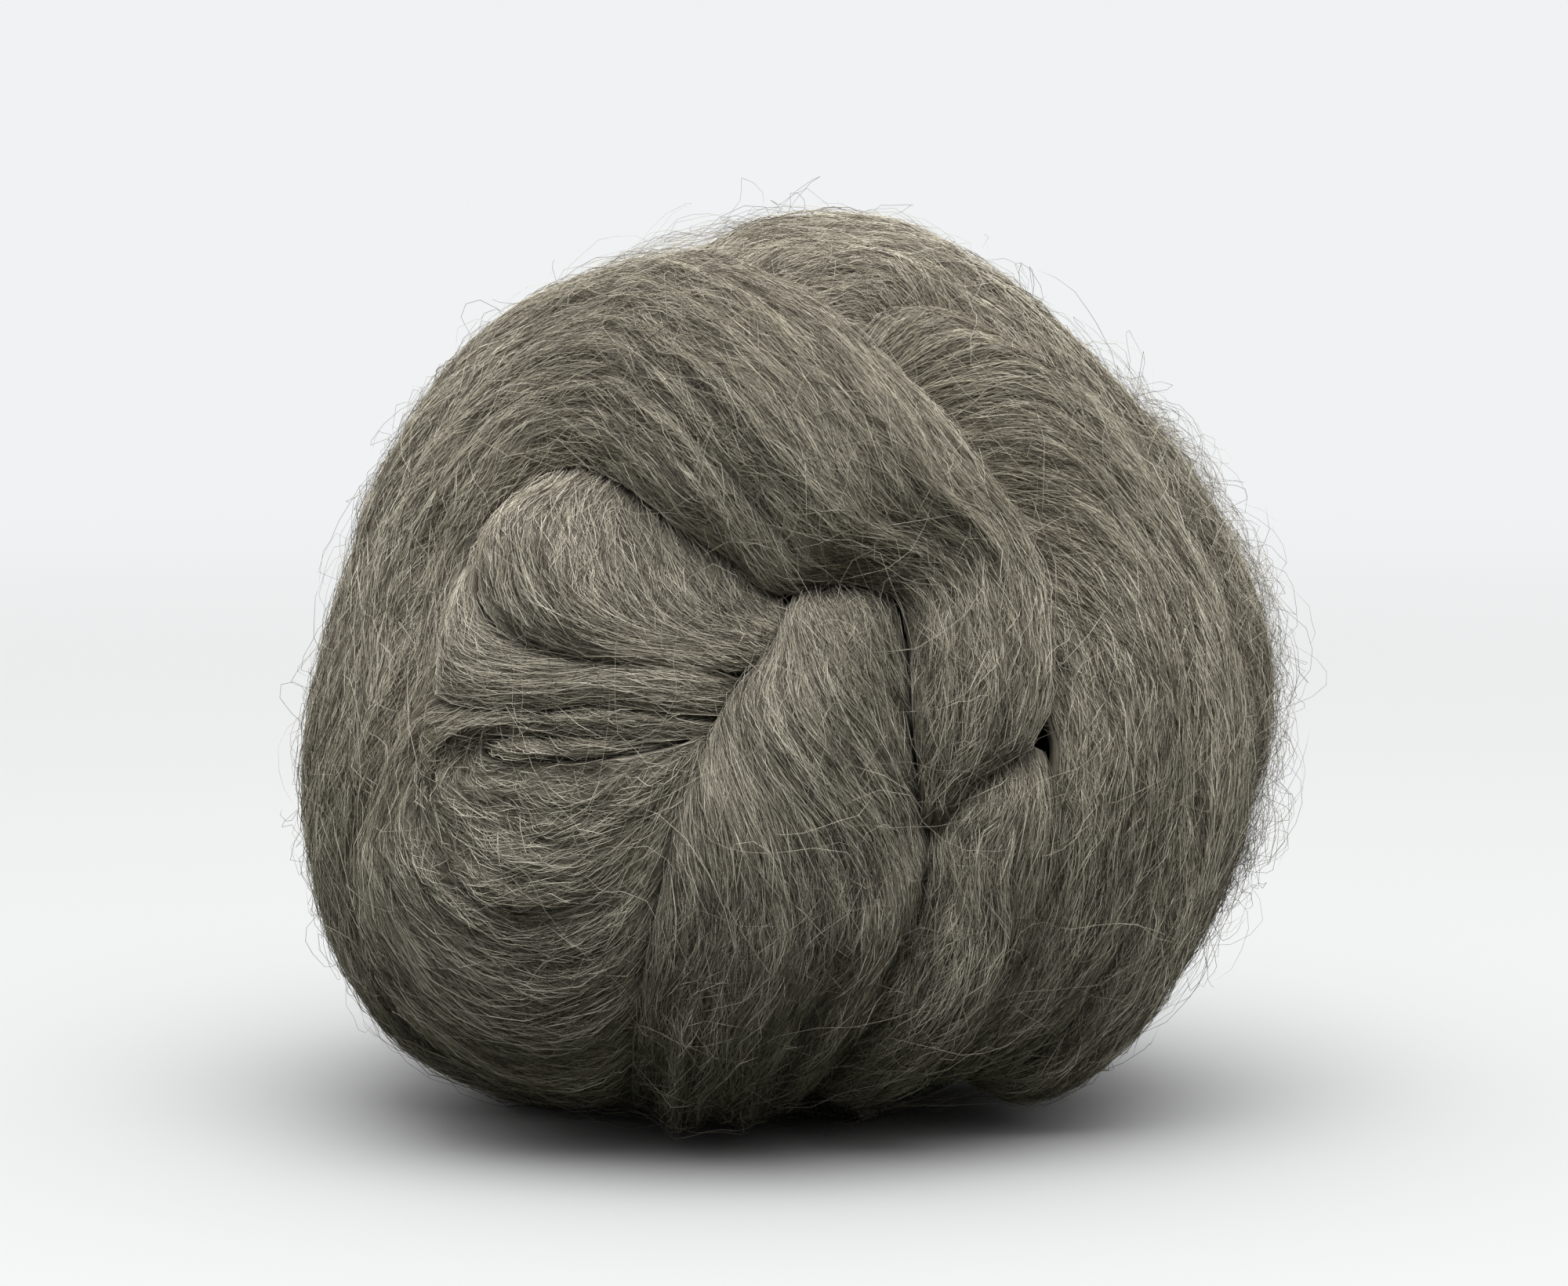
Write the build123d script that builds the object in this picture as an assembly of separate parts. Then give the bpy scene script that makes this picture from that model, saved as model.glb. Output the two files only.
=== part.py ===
from build123d import *
import os
from math import cos, radians, sin

# A loose ball of combed wool: one thick soft strand, folded and wound on itself.
# Millimetres, +Z up, -Y is the front, and the origin is the middle of the flat it rests on.
# Each turn of the strand between two places where it dives under another turn is one solid.

# Driving dimensions: the ball
half_wide = 55.2      # along X
half_deep = 55.0      # along Y
half_high = 52.5      # along Z
squareness = 2.12     # exponent of the round shape: 2 is an ellipsoid, more is boxier
lean = 0.30           # how much boxier it gets towards its left side
settled = 0.72        # how much boxier it gets towards its underside
settled_lean = 0.28   # and how much more of that at its left side
taper_wide = 0.20     # how much narrower it gets towards its top
taper_deep = 0.12     # and how much less deep
rest_cut = 0.5        # depth of the flat that the lowest turns are pressed to

# Driving dimensions: the strand
inner_radius = 34.0   # the round ball that the outer turns are wound on
over_depth = 12.0     # thickness of a turn that lies over other turns
wrap_depth = 14.0     # thickness of the wrap down the right side
arch_depth = 16.0     # thickness of the arch, whose edges lie deepest
tail_depth = 7.0      # thickness of the strand's free end
layer_gap = 0.3       # clearance between neighbouring turns
flattest = 0.15       # least rise of a turn's crown over its edges, as a share of half its width
fullest = 0.85        # most rise
core_radius = 20.0    # the first tight tuck in the middle
inner_turns = 5       # turns between the core and the outer turns
inner_tilt = 35.0     # how far the inner turns lean, in degrees

centre = Vector(0, 0, half_high - rest_cut)
buried = 3.0          # how far uncut turns reach into the inner ball


def aim(lon, lat):
    """Direction from the ball's centre: lon is 0 at the front and grows to the right."""
    level = cos(radians(lat))
    return Vector(level * sin(radians(lon)), -level * cos(radians(lon)), sin(radians(lat)))


def ring(turn, tilt):
    """Direction on a ring that stands across the view: turn is 0 at the right, 90 at the top."""
    level = cos(radians(tilt))
    return Vector(level * cos(radians(turn)), sin(radians(tilt)), level * sin(radians(turn)))


def reach(way):
    """Distance from the centre to the round shape along a direction."""
    power = squareness - lean * way.X + (settled - settled_lean * way.X) * min(way.Z, 0) ** 2
    across = abs(way.X) / (half_wide * (1 - taper_wide * way.Z))
    back = abs(way.Y) / (half_deep * (1 - taper_deep * way.Z))
    up = abs(way.Z) / half_high
    return (across ** power + back ** power + up ** power) ** (-1 / power)


def root_radius(way, depth):
    """Where a cross-section ends inwards; a full-depth one ends inside the inner ball."""
    if depth is None:
        return inner_radius - buried
    return reach(way) - depth


def edge_depths(stations, row):
    """How far a row's two edges lie below the round shape, between the stations round it."""
    before = max(station for station in stations if station[0] <= row)
    after = min((station for station in stations if station[0] >= row), default=before)
    share = (row - before[0]) / max(after[0] - before[0], 1)
    return [low + (high - low) * share for low, high in zip(before[1:], after[1:])]


def slice_of(side_a, side_b, crown, edges, depth, grow):
    """One cross-section of a turn, in the plane of the centre and its two edges."""
    middle = (side_a + side_b).normalized()
    low_a = centre + side_a * (reach(side_a) - edges[0] + grow)
    low_b = centre + side_b * (reach(side_b) - edges[1] + grow)
    across = (low_b - low_a).normalized()
    low_a -= across * grow
    low_b += across * grow
    chord = (low_a + low_b) * 0.5
    half_width = (low_b - low_a).length / 2
    rise = (centre + middle * (reach(middle) + crown + grow) - chord).dot(middle)
    rise = min(max(rise, flattest * half_width), fullest * half_width)
    top = chord + middle * rise
    root_a = centre + side_a * (root_radius(side_a, depth) - grow) - across * grow
    root_b = centre + side_b * (root_radius(side_b, depth) - grow) + across * grow
    outline = Wire([
        Edge.make_three_point_arc(low_a, top, low_b),
        Edge.make_line(low_b, root_b),
        Edge.make_line(root_b, root_a),
        Edge.make_line(root_a, low_a),
    ])
    return Face(outline)


def turn_solid(turn, grow=0.0):
    """A turn lofted through its cross-sections; grow makes it larger all round."""
    slices = [
        slice_of(side_a, side_b, crown, edge_depths(turn["edges"], row), turn["depth"], grow)
        for row, (side_a, side_b, crown) in enumerate(turn["slices"])
    ]
    for end, beside in ((0, 1), (-1, -2)):
        outward = (slices[end].center() - slices[beside].center()).normalized()
        slices[end] = Location(outward * grow) * slices[end]
    return loft(slices)


def laid(*rows):
    """Cross-sections from rows of lon, lat of one edge, lon, lat of the other, and crown."""
    return [(aim(lon_a, lat_a), aim(lon_b, lat_b), crown) for lon_a, lat_a, lon_b, lat_b, crown in rows]


def hooped(*rows):
    """Cross-sections of a standing ring from rows of turn, front tilt, back tilt and crown."""
    return [(ring(turn, front), ring(turn, back), crown) for turn, front, back, crown in rows]


full = None           # a turn of full depth goes down to the inner ball, which cuts it

# The turns, uppermost first. Each row is one cross-section: its two edges as directions in
# degrees, and how far its crown stands above the round shape. "edges" gives, from a row on, how
# far the first and the second edge lie below it. The knob is where the arch turns down and ends.
turns = {
    "arch_hoop": {
        "edges": [(0, 8, 5), (1, 10, 5), (3, 11, 5), (7, 11, 5), (9, 9, 4), (13, 8, 4), (15, 5, 4),
                  (17, 3, 4)],
        "depth": arch_depth,
        "slices": laid(
            (15, 15, 38, 17, 2.2), (10, 17, 37, 25, 1.8), (3, 17, 33, 32, 1.6), (-3, 16, 29, 41, 1.8),
            (-10, 20, 21, 52, 1.8), (-17, 23, 10, 63, 1.2), (-26, 27, -23, 75, -0.5),
            (-35, 31, -85, 76, -2.0), (-44, 31, -100, 64, -1.8), (-50, 27, -102, 50, -1.0),
            (-54, 21, -101, 37, -0.7), (-56, 15, -100, 25, -0.6), (-55, 8, -99, 13, -0.6),
            (-54, 2, -98, 1, -0.6), (-55, -5, -98, -11, -0.8), (-58, -13, -98, -23, -0.8),
            (-62, -25, -100, -36, -0.5), (-62, -40, -104, -50, 0.0), (-52, -56, -112, -64, 0.0),
            (-28, -68, -135, -79, -7.0),
        ),
    },
    "knob_fold": {
        "edges": [(0, 7, 6), (4, 8, 5)], "depth": full,
        "slices": laid(
            (17, -16, 20, -14, -4.0), (17, -11, 24, -9, -0.5), (16, -4, 32, -5, 2.2), (16, 4, 36, 2, 3.0),
            (16, 10, 37, 10, 2.8), (15, 14.5, 38, 16.5, 2.2),
        ),
    },
    "front_fold": {
        "edges": [(0, 7, 7), (2, 6, 7), (4, 3.5, 7), (5, 1.5, 7), (7, 0.8, 6), (11, 2, 4)], "depth": full,
        "slices": laid(
            (0, 17, 15, 18, -7.0), (-1, 12, 15, 13, -0.5), (-3, 7, 15, 6, 1.8), (-8, 1, 16, -1, 3.0),
            (-10, -4, 16, -8, 3.2), (-12, -9, 17, -14, 3.0), (-14, -15, 17, -21, 2.6),
            (-16, -22, 15, -29, 2.0), (-19, -31, 11, -38, 1.5), (-24, -43, 6, -50, 1.0),
            (-33, -56, 0, -60, 0.0), (-44, -67, 5, -70, -7.0),
        ),
    },
    "back_cross": {
        "edges": [(0, 4, 4)], "depth": over_depth,
        "slices": laid(
            (96, 70, -128, 70, -8.0), (134, 52, -158, 56, -0.5), (150, 28, -160, 36, 1.5),
            (158, 8, -158, 16, 1.5), (166, -12, -152, -4, 1.5), (172, -31, -144, -23, 1.5),
            (176, -49, -134, -41, 0.5), (-176, -62, -120, -54, -7.0),
        ),
    },
    "tail_end": {
        "edges": [(0, 2, 2)], "depth": tail_depth,
        "slices": laid(
            (168, 34, 166, 10, -2.0), (156, 33, 154, 9, 1.5), (144, 30, 142, 8, 2.5),
            (132, 26, 130, 9, 2.5), (121, 21, 120, 10, 1.5), (114, 17, 113, 12, 0.0),
        ),
    },
    "under_wrap": {
        "edges": [(0, 4, 4)], "depth": over_depth,
        "slices": laid(
            (-155, -24, 165, -24, -7.0), (-150, -36, 160, -36, -1.0), (-140, -50, 148, -50, 0.5),
            (-122, -64, 125, -64, 1.0), (-90, -70, 90, -70, 1.0), (-55, -64, 55, -64, 0.0),
            (-38, -54, 35, -54, -7.0),
        ),
    },
    "right_wrap": {
        "edges": [(0, 5, 4), (12, 5, 2)], "depth": wrap_depth,
        "slices": laid(
            (0, 34, 4, 52, -8.0), (12, 34, 20, 60, -1.5), (24, 29, 46, 60, 0.0), (32, 21, 66, 50, 0.5),
            (36, 13, 75, 35, 0.5), (37, 4, 77, 18, 0.5), (36, -4, 78, 1, 0.5), (35, -13, 79, -16, 0.5),
            (35, -23, 79, -30, 0.5), (33, -35, 79, -43, 0.5), (28, -47, 80, -56, 0.5),
            (17, -60, 90, -68, 0.0), (-10, -74, 130, -80, -7.0),
        ),
    },
    "throat_strip": {
        "edges": [(0, 4, 4), (2, 2, 4), (6, 3, 4)], "depth": full,
        "slices": laid(
            (-49, 12, -41, 14, -6.0), (-46, 5, -38, 9, -2.5), (-40, -1, -33, 5, -2.0),
            (-32, -3, -28, 4, -2.0), (-22, -2, -20, 4, -2.5), (-14, -1, -12, 3, -4.0),
            (-10, -1, -8, 2, -6.0),
        ),
    },
    "inner_fold": {
        "edges": [(0, 6, 6), (2, 7, 7), (4, 9, 8), (6, 6, 7)], "depth": full,
        "slices": laid(
            (-60, 32, -19, 37, -7.0), (-57, 19, -12, 26, -1.0), (-53, 12, -6, 20, 1.0),
            (-49, 7, -3, 16, 2.0), (-42, 4, -1, 12, 1.5), (-28, 4, -2, 8, 0.5), (-15, 3, -6, 4, -3.0),
        ),
    },
    "swirl_fold": {
        "edges": [(0, 3, 1), (3, 2, 3), (6, 1.2, 4), (10, 1, 1), (12, 2, 2)], "depth": full,
        "slices": laid(
            (-11, -3, -11, 0, -3.0), (-18, -1, -19, 3, -1.5), (-25, -1, -29, 3, -0.5),
            (-30, -2, -40, 1, 0.0), (-33, -4, -49, -5, 0.5), (-35, -7, -58, -14, 1.0),
            (-34, -9, -67, -27, 1.5), (-30, -11, -64, -42, 1.5), (-26, -11, -48, -52, 1.5),
            (-21, -9, -32, -47, 1.0), (-16, -6, -20, -32, 0.5), (-13, -4, -15, -16, -0.5),
            (-11, -3, -11, -7, -2.5),
        ),
    },
    "swirl_eye": {
        "edges": [(0, 2, 2)], "depth": full,
        "slices": laid(
            (-35, -8, -35, -4, -3.0), (-32, -11, -32, -2, -1.0), (-26, -12, -26, -1, -0.3),
            (-20, -10, -20, -1, -0.8), (-15, -6, -15, -2, -3.5),
        ),
    },
    "lower_right_fold": {
        "edges": [(0, 6, 6), (3, 5, 5), (7, 4, 3)], "depth": full,
        "slices": laid(
            (28, -4, 34, -7, -6.0), (22, -9, 36, -14, -2.5), (17, -15, 37, -24, -0.8),
            (17, -22, 38, -32, -0.5), (14, -31, 38, -43, -0.5), (9, -41, 33, -52, -0.5),
            (2, -53, 22, -62, -0.5), (-12, -67, 12, -74, -7.0),
        ),
    },
    "crown_wrap": {
        "edges": [(0, 4, 4)], "depth": full,
        "slices": hooped(
            (203, -22, 0, -7.0), (186, -20, 12, -2.0), (168, -20, 22, -0.5), (146, -20, 26, -1.0),
            (122, -20, 26, -2.0), (98, -25, 25, -2.5), (74, -33, 24, -1.2), (50, -32, 24, 0.2),
            (26, -30, 24, 1.2), (2, -30, 24, 0.0), (-22, -30, 24, -0.5), (-46, -30, 24, -0.5),
            (-70, -30, 24, 0.0), (-94, -30, 24, 0.0), (-116, -32, 24, 0.0), (-134, -34, 15, -1.5),
            (-154, -36, 4, -7.0),
        ),
    },
    "back_wrap_upper": {
        "edges": [(0, 4, 4)], "depth": full,
        "slices": laid(
            (82, 50, 84, 6, -7.0), (100, 54, 100, 3, -1.0), (121, 57, 119, 1, -0.5),
            (146, 58, 141, 0, 0.0), (175, 58, 165, -1, -1.0), (-155, 56, -168, -1, -1.0),
            (-130, 53, -140, 0, 0.0), (-108, 47, -115, 2, -1.0), (-92, 42, -98, 4, -7.0),
        ),
    },
    "back_wrap_lower": {
        "edges": [(0, 4, 4)], "depth": full,
        "slices": laid(
            (84, 9, 86, -44, -7.0), (100, 9, 100, -50, -1.0), (121, 8, 123, -56, -0.5),
            (142, 7, 150, -60, 0.0), (165, 6, 178, -62, -1.0), (-168, 6, -152, -60, -1.0),
            (-142, 7, -130, -55, 0.0), (-118, 8, -111, -50, -1.0), (-100, 8, -96, -46, -7.0),
        ),
    },
}


def largest(shape):
    """The biggest solid that a cut leaves."""
    return max(shape.solids(), key=lambda solid: solid.volume)


def outer_turns():
    """Every outer turn, cut by the inner ball, by the turns over it and flat at the floor."""
    below = Location((0, 0, -half_high)) * Box(4 * half_wide, 4 * half_deep, 2 * half_high)
    inner_ball = Location(centre) * Sphere(inner_radius)
    made = {}
    for name, turn in turns.items():
        solid = turn_solid(turn) - inner_ball - below
        for above in reversed(made):
            solid = solid - turn_solid(turns[above], layer_gap)
        made[name] = largest(solid)
    return made


def inner_parts():
    """The first tuck and the turns round it: slices of a thick shell, on a leaning axis."""
    made = {"core_ball": Location(centre) * Sphere(core_radius)}
    wall = Circle(inner_radius - layer_gap) - Circle(core_radius + layer_gap)
    pitch = 2 * inner_radius / inner_turns
    lean_over = Location(centre) * Rotation(0, inner_tilt, 0)
    for place in range(inner_turns):
        offset = (place - (inner_turns - 1) / 2) * pitch
        window = Location((offset, inner_radius / 2)) * Rectangle(pitch - layer_gap, inner_radius)
        made[f"inner_turn_{place + 1}"] = lean_over * revolve(wall & window, Axis.X)
    return made


parts = {**outer_turns(), **inner_parts()}

# The flat is at z = 0; the box's middle goes over the origin
whole = Compound(list(parts.values())).bounding_box()
middle_x = (whole.min.X + whole.max.X) / 2
middle_y = (whole.min.Y + whole.max.Y) / 2
to_origin = Location((-middle_x, -middle_y, 0))

os.makedirs("parts", exist_ok=True)
for name, solid in parts.items():
    export_step(to_origin * solid, f"parts/{name}.step")
    print(name, round(solid.volume), "mm3")
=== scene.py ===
import math
import bpy
import numpy as np
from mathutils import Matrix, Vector


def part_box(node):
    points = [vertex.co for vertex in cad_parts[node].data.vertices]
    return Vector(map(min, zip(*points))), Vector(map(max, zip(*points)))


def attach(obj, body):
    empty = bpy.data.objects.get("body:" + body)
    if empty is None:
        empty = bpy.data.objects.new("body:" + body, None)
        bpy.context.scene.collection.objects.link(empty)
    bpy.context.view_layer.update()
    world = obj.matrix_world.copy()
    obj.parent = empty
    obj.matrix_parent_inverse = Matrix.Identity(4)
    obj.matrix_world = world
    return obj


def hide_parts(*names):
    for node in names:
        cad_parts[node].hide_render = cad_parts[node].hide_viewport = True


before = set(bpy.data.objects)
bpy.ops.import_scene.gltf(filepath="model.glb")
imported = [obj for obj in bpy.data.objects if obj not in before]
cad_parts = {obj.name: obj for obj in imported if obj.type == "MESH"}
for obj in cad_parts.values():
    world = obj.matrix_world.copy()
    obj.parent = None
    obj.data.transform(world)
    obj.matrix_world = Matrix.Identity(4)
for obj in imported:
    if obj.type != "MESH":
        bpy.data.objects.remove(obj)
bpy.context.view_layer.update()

mm = 0.001
coreLow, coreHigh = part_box("core_ball")
ballCentre = (np.array(coreLow) + np.array(coreHigh)) / 2 / mm      # everything below is in mm

# the round shape
ballLook = {
    "halfWide": 55.2, "halfDeep": 55.0, "halfHigh": 52.5,
    "squareness": 2.12,      # 2 is an ellipsoid, more is boxier
    "lean": 0.30,            # boxier towards the left
    "settled": 0.72, "settledLean": 0.28,        # boxier towards the underside, mostly at the left
    "taperWide": 0.20, "taperDeep": 0.12,        # narrower towards the top
}


def unit(vectors):
    # each vector divided by its length
    return vectors / np.linalg.norm(vectors, axis=-1, keepdims=True)


def dot(a, b):
    # sum of the products along the last axis, kept as a column
    return (a * b).sum(-1, keepdims=True)


def reach(way):
    # distance r along a unit direction at which |x/a|^p + |y/b|^p + |z/c|^p = 1, where p falls with x
    # and grows below the middle, and a and b fall with z
    look = ballLook
    power = look["squareness"] - look["lean"] * way[..., 0]
    settled = look["settled"] - look["settledLean"] * way[..., 0]
    power = power + settled * np.minimum(way[..., 2], 0) ** 2
    halves = np.stack([
        look["halfWide"] * (1 - look["taperWide"] * way[..., 2]),
        look["halfDeep"] * (1 - look["taperDeep"] * way[..., 2]),
        np.full(way.shape[:-1], look["halfHigh"]),
    ], -1)
    return ((np.abs(way) / halves) ** power[..., None]).sum(-1) ** (-1 / power)


def aim(lon, lat):
    # direction of a longitude (0 at the front, growing to the right) and a latitude
    lon, lat = np.radians(lon), np.radians(lat)
    return np.stack([np.cos(lat) * np.sin(lon), -np.cos(lat) * np.cos(lon), np.sin(lat)], -1)


def ringAim(turn, tilt):
    # direction on a ring across the view: turn is 0 at the right and 90 at the top
    turn, tilt = np.radians(turn), np.radians(tilt)
    return np.stack([np.cos(tilt) * np.cos(turn), np.sin(tilt), np.cos(tilt) * np.sin(turn)], -1)


# the turns of the strand
# The uppermost turn first. A row is one cross-section: longitude and latitude of its first
# edge, the same of its second edge, how far its crown stands above the round shape, and the
# drift, which is how far the fibres have slid from one edge (-1) towards the other (+1).
# Edges gives, from a row on, how far the first and the second edge lie below the round shape.
# A turn may also have fold, its share of foldHeight, tone, painted shade that makes its fibres darker (-)
# or painted light that makes them paler (+), a creaseDrop and creaseSlope of its own, and ring, for rows
# that are read by ringAim.
turns = {
    "arch_hoop": {           # its first rows are the knob, where the strand turns down and ends
        "knobRows": 5, "creaseSlope": 0.9, "creaseDrop": 1.0, "fold": 1.25,
        "edges": [(0, 7, 7), (4, 8, 7.5), (6, 10, 7), (8, 11, 6.5), (12, 11, 6), (14, 9, 4),
                  (18, 8, 4), (20, 5, 4), (22, 3, 4)],
        "rows": [
            (17, -16, 20, -14, -4.0, 0), (17, -11, 24, -9, -0.5, 0), (16, -4, 32, -5, 2.2, 0),
            (16, 4, 36, 2, 3.0, 0), (16, 10, 37, 10, 2.8, 0), (15, 15, 38, 17, 2.2, 0),
            (10, 17, 37, 25, 1.8, 0), (3, 17, 33, 32, 1.6, 0), (-3, 16, 29, 41, 1.8, 0.1),
            (-10, 21, 21, 52, 1.8, 0.2), (-17, 24.5, 10, 63, 1.2, 0.28),
            (-26, 29.5, -23, 75, -0.5, 0.33),
            (-35, 33.5, -85, 76, -2.0, 0.35), (-44, 33.5, -100, 64, -1.8, 0.35),
            (-50, 29, -102, 50, -1.0, 0.35), (-54, 22, -101, 37, -0.7, 0.35),
            (-56, 15, -100, 25, -0.8, 0.35), (-55, 8, -99, 13, -1.2, 0.35),
            (-54, 2, -98, 1, -1.5, 0.35), (-55, -5, -98, -11, -1.7, 0.35),
            (-58, -13, -98, -23, -1.5, 0.35), (-62, -25, -100, -36, -0.9, 0.35),
            (-62, -40, -104, -50, 0.0, 0.35),
            (-52, -56, -112, -64, 0.0, 0.35), (-28, -68, -135, -79, -7.0, 0.35),
        ],
    },
    "front_fold": {
        "edges": [(0, 7, 7), (2, 6, 7), (4, 3.5, 7), (5, 1.5, 7), (7, 0.8, 6), (11, 2, 4)],
        "rows": [
            (0, 17, 15, 18, -7.0, -1.8), (-1, 12, 15, 13, -1.5, -1.7), (-3, 7, 15, 6, 0.3, -1.35),
            (-8, 1, 16, -1, 1.6, -1.0), (-10, -4, 16, -8, 2.6, -0.65), (-12, -9, 17, -14, 3.3, -0.35),
            (-14, -15, 17, -21, 3.6, -0.12), (-16, -22, 15, -29, 3.2, 0), (-19, -31, 11, -38, 2.1, 0),
            (-24, -43, 6, -50, 1.0, 0), (-33, -56, 0, -60, 0.0, 0), (-44, -67, 5, -70, -7.0, 0),
        ],
    },
    "back_cross": {
        "edges": [(0, 4, 4)],
        "rows": [
            (96, 70, -128, 70, -8.0, 0), (134, 52, -158, 56, -0.5, 0), (150, 28, -160, 36, 1.5, 0),
            (158, 8, -158, 16, 1.5, 0), (166, -12, -152, -4, 1.5, 0), (172, -31, -144, -23, 1.5, 0),
            (176, -49, -134, -41, 0.5, 0), (-176, -62, -120, -54, -7.0, 0),
        ],
    },
    "tail_end": {
        "edges": [(0, 2, 2)],
        "rows": [
            (168, 34, 166, 10, -2.0, 0), (156, 33, 154, 9, 1.5, 0), (144, 30, 142, 8, 2.5, 0),
            (132, 26, 130, 9, 2.5, 0), (121, 21, 120, 10, 1.5, 0), (114, 17, 113, 12, 0.0, 0),
        ],
    },
    "under_wrap": {
        "edges": [(0, 4, 4)],
        "rows": [
            (-155, -24, 165, -24, -7.0, 0), (-150, -36, 160, -36, -1.0, 0),
            (-140, -50, 148, -50, 0.5, 0), (-122, -64, 125, -64, 1.0, 0), (-90, -70, 90, -70, 1.0, 0),
            (-55, -64, 55, -64, 0.0, 0), (-38, -54, 35, -54, -7.0, 0),
        ],
    },
    "right_wrap": {
        "edges": [(0, 5, 4), (12, 5, 2)],
        "rows": [
            (0, 34, 4, 52, -8.0, -1.0), (12, 34, 20, 60, -1.5, -0.75), (24, 29, 46, 60, 0.0, -0.5),
            (32, 21, 66, 50, 0.5, -0.3), (36, 13, 75, 35, 0.5, -0.15), (37, 4, 77, 18, 0.5, -0.05),
            (36, -4, 78, 1, 0.5, 0), (35, -13, 79, -16, 0.5, 0), (35, -23, 79, -30, 0.5, 0),
            (33, -35, 79, -43, 0.5, 0), (28, -47, 80, -56, 0.5, 0), (17, -60, 90, -68, 0.0, 0),
            (-10, -74, 130, -80, -7.0, 0),
        ],
    },
    "throat_strip": {
        "fold": 0.3, "creaseDrop": 0.1, "creaseSlope": 2.0,
        "edges": [(0, 4, 4), (3, 0.8, 4), (7, 3, 4)],
        "rows": [
            (-51, 14, -45, 16, -6.0, 0), (-51, 6, -44, 11, -2.5, 0), (-47, 1, -40, 8, -1.2, 0),
            (-40, -0.5, -34, 6, -0.8, 0), (-31, -0.5, -27, 5, -0.8, 0), (-22, 0.5, -20, 4.5, -1.2, 0),
            (-14, -0.5, -12, 4, -2.0, 0), (-7, -1.5, -5, 3, -4.0, 0),
        ],
    },
    "inner_fold": {
        # its tone is painted shade: the lobe's fibres are darker for the shade that the arch casts over
        # it
        "fold": 0.3, "tone": -0.06,
        "edges": [(0, 6, 6), (2, 7, 7), (4, 9, 8), (6, 6, 7)],
        "rows": [
            (-60, 34, -19, 39, -7.0, 0), (-57, 21, -12, 28, -2.2, 0), (-54, 13, -6, 22, -1.5, 0),
            (-50, 7.5, -3, 17, -0.9, 0), (-42, 4, -1, 13, -0.5, 0), (-26, 3.5, 0, 10, -0.2, 0),
            (-10, 2.5, 2, 8, -2.0, 0),
        ],
    },
    "swirl_fold": {
        "fold": 0.6, "creaseDrop": 0.0, "creaseSlope": 4.0,
        "edges": [(0, 3, 1), (3, 1.2, 3), (6, 0.6, 4), (10, 0.8, 1), (12, 2, 2)],
        "rows": [
            (-6, -4, -6, 0, -3.5, 0), (-16, -3.4, -16, 2.5, -1.6, 0), (-24, -3.2, -28, 3, -0.6, 0),
            (-31, -3.2, -46, 4, 0.0, 0), (-35.5, -3.8, -55, -3, 0.4, 0), (-37, -5, -60, -14, 0.8, 0),
            (-35.5, -6.2, -67, -27, 1.3, 0), (-31, -6.2, -64, -44, 1.5, 0),
            (-27, -6.2, -44, -58, 1.5, 0), (-22, -5.8, -22, -56, 1.0, 0), (-17, -5, -12, -38, 0.5, 0),
            (-13, -4, -11, -18, -0.5, 0), (-11, -3, -11, -7, -2.5, 0),
        ],
    },
    "swirl_eye": {
        "edges": [(0, 2, 2)],
        "rows": [
            (-43, -8, -43, -3, -4.0, 0), (-39, -11, -38, 0, -0.8, 0), (-32, -12, -32, 1, 0.2, 0),
            (-25, -12, -25, 0, 0.0, 0), (-17, -9, -17, -1, -1.0, 0), (-6, -6, -6, -1, -3.5, 0),
        ],
    },
    "lower_right_fold": {
        "edges": [(0, 6, 6), (3, 5, 5), (7, 4, 3)],
        "rows": [
            (28, -4, 34, -7, -6.0, 0), (22, -9, 36, -14, -2.5, 0), (17, -15, 37, -24, -0.8, 0),
            (17, -22, 38, -32, -0.5, 0), (14, -31, 38, -43, -0.5, 0), (9, -41, 33, -52, -0.5, 0),
            (2, -53, 22, -62, -0.5, 0), (-12, -67, 12, -74, -7.0, 0),
        ],
    },
    "crown_wrap": {
        # its tone is painted light: the crown's fibres are paler for the light that falls on the top from
        # behind
        "edges": [(0, 4, 4)], "ring": True, "tone": 0.04,
        "rows": [
            (203, -22, 203, 0, -7.0, 0), (186, -20, 186, 12, -2.0, 0), (168, -20, 168, 22, -0.5, 0),
            (146, -20, 146, 26, -1.0, 0), (122, -20, 122, 26, -2.0, 0), (98, -25, 98, 25, -2.8, 0),
            (74, -33, 74, 24, -0.4, 0), (50, -32, 50, 24, 0.2, 0), (26, -30, 26, 24, 1.2, 0),
            (2, -30, 2, 24, 0.0, 0), (-22, -30, -22, 24, -1.8, 0), (-46, -30, -46, 24, -1.5, 0),
            (-70, -30, -70, 24, 0.0, 0), (-94, -30, -94, 24, 0.0, 0), (-116, -32, -116, 24, 0.0, 0),
            (-134, -34, -134, 15, -1.5, 0), (-154, -36, -154, 4, -7.0, 0),
        ],
    },
    "back_wrap_upper": {
        "fold": 0.55,
        "edges": [(0, 4, 4)],
        "rows": [
            (82, 50, 84, 6, -7.0, 0), (100, 54, 100, 3, -1.0, 0), (121, 57, 119, 1, -0.5, 0),
            (146, 58, 141, 0, 0.0, 0), (175, 58, 165, -1, -1.0, 0), (-155, 56, -168, -1, -1.0, 0),
            (-130, 53, -140, 0, 0.0, 0), (-108, 47, -115, 2, -1.0, 0), (-92, 42, -98, 4, -7.0, 0),
        ],
    },
    "back_wrap_lower": {
        "fold": 0.55,
        "edges": [(0, 4, 4)],
        "rows": [
            (84, 9, 86, -44, -7.0, 0), (100, 9, 100, -50, -1.0, 0), (121, 8, 123, -56, -0.5, 0),
            (142, 7, 150, -60, 0.0, 0), (165, 6, 178, -62, -1.0, 0), (-168, 6, -152, -60, -1.0, 0),
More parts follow.
